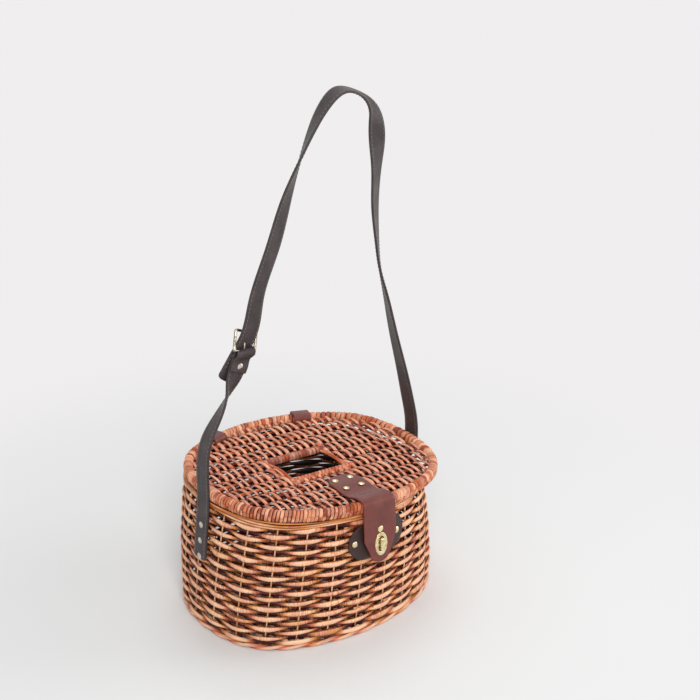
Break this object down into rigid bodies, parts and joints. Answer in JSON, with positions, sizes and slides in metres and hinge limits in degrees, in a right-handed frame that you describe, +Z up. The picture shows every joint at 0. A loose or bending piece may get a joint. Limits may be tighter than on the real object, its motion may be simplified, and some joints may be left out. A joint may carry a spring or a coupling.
{
  "type": "wicker mushroom basket",
  "caption": "Oval willow basket with a hinged lid that has a hand hole, a leather turn-button latch, and a buckled leather carrying strap.",
  "frame": {"origin": "on the table under the middle of the base", "axes": "+Z up, the front with the latch faces -Y, +X to the right along the basket's length; the strap's buckle is on the left"},
  "size_m": [0.3456, 0.2885, 0.6731],
  "materials": {
    "willow": "satin, varnished buff willow",
    "willow_rods": "satin, varnished buff willow",
    "latch_leather": "smooth, worn",
    "strap_leather": "smooth, worn",
    "brass": "polished, dulled",
    "nickel": "nickel plated, dulled",
    "buckle_metal": "cast, worn"
  },
  "bodies": {
    "basket": {"foot_ring": "willow", "base_weave": "willow", "base_sticks": "willow_rods", "wall_weave": "willow", "wall_stakes": "willow_rods", "top_border": "willow_rods", "hinge_loop_left": "latch_leather", "hinge_loop_right": "latch_leather", "latch_patch": "latch_leather", "patch_rivets": "brass", "patch_washers": "brass", "lock_plate": "brass", "strap_end_left": "strap_leather", "strap_end_right": "strap_leather", "strap_rivets_left": "nickel", "strap_rivets_right": "nickel", "strap_washers": "nickel"},
    "lid": {"lid_rim": "willow_rods", "lid_weave": "willow", "lid_sticks": "willow_rods", "hole_frame": "willow_rods", "latch_tab": "latch_leather", "tab_rivets": "brass", "tab_washers": "brass"},
    "latch_flap": {"latch_flap": "latch_leather", "eyelet_front": "brass", "eyelet_back": "brass", "flap_rivet": "brass"},
    "turn_button": {"turn_button": "brass"},
    "strap": {"short_strap": "strap_leather", "long_strap": "strap_leather", "buckle_frame": "buckle_metal", "buckle_rivet": "nickel"},
    "buckle_prong": {"buckle_prong": "buckle_metal"}
  },
  "joints": [
    {"name": "lid_hinge", "type": "hinge", "parent": "basket", "child": "lid", "pos_m": [0.00874, 0.139, 0.17305], "axis": [-0.9969, 0, 0.0785], "range_deg": [0, 105], "deforming": ["hinge_loop_left", "hinge_loop_right", "short_strap", "long_strap"]},
    {"name": "flap_swing", "type": "hinge", "parent": "lid", "child": "latch_flap", "pos_m": [0.00953, -0.14045, 0.18302], "axis": [-0.9969, 0, 0.0785], "range_deg": [0, 90]},
    {"name": "button_turn", "type": "hinge", "parent": "basket", "child": "turn_button", "pos_m": [0.00953, -0.14186, 0.12994], "axis": [0, -0.9987, 0.05], "range_deg": [0, 90]},
    {"name": "strap_swing", "type": "hinge", "parent": "basket", "child": "strap", "pos_m": [-0.00314, 0, 0.14991], "axis": [0.9969, 0, -0.0785], "range_deg": [-85, 85], "deforming": ["short_strap", "long_strap"]},
    {"name": "prong_swing", "type": "hinge", "parent": "strap", "child": "buckle_prong", "pos_m": [-0.0928, -0.0035, 0.37], "axis": [-0.9135, 0, 0.4067], "range_deg": [0, 45]}
  ]
}
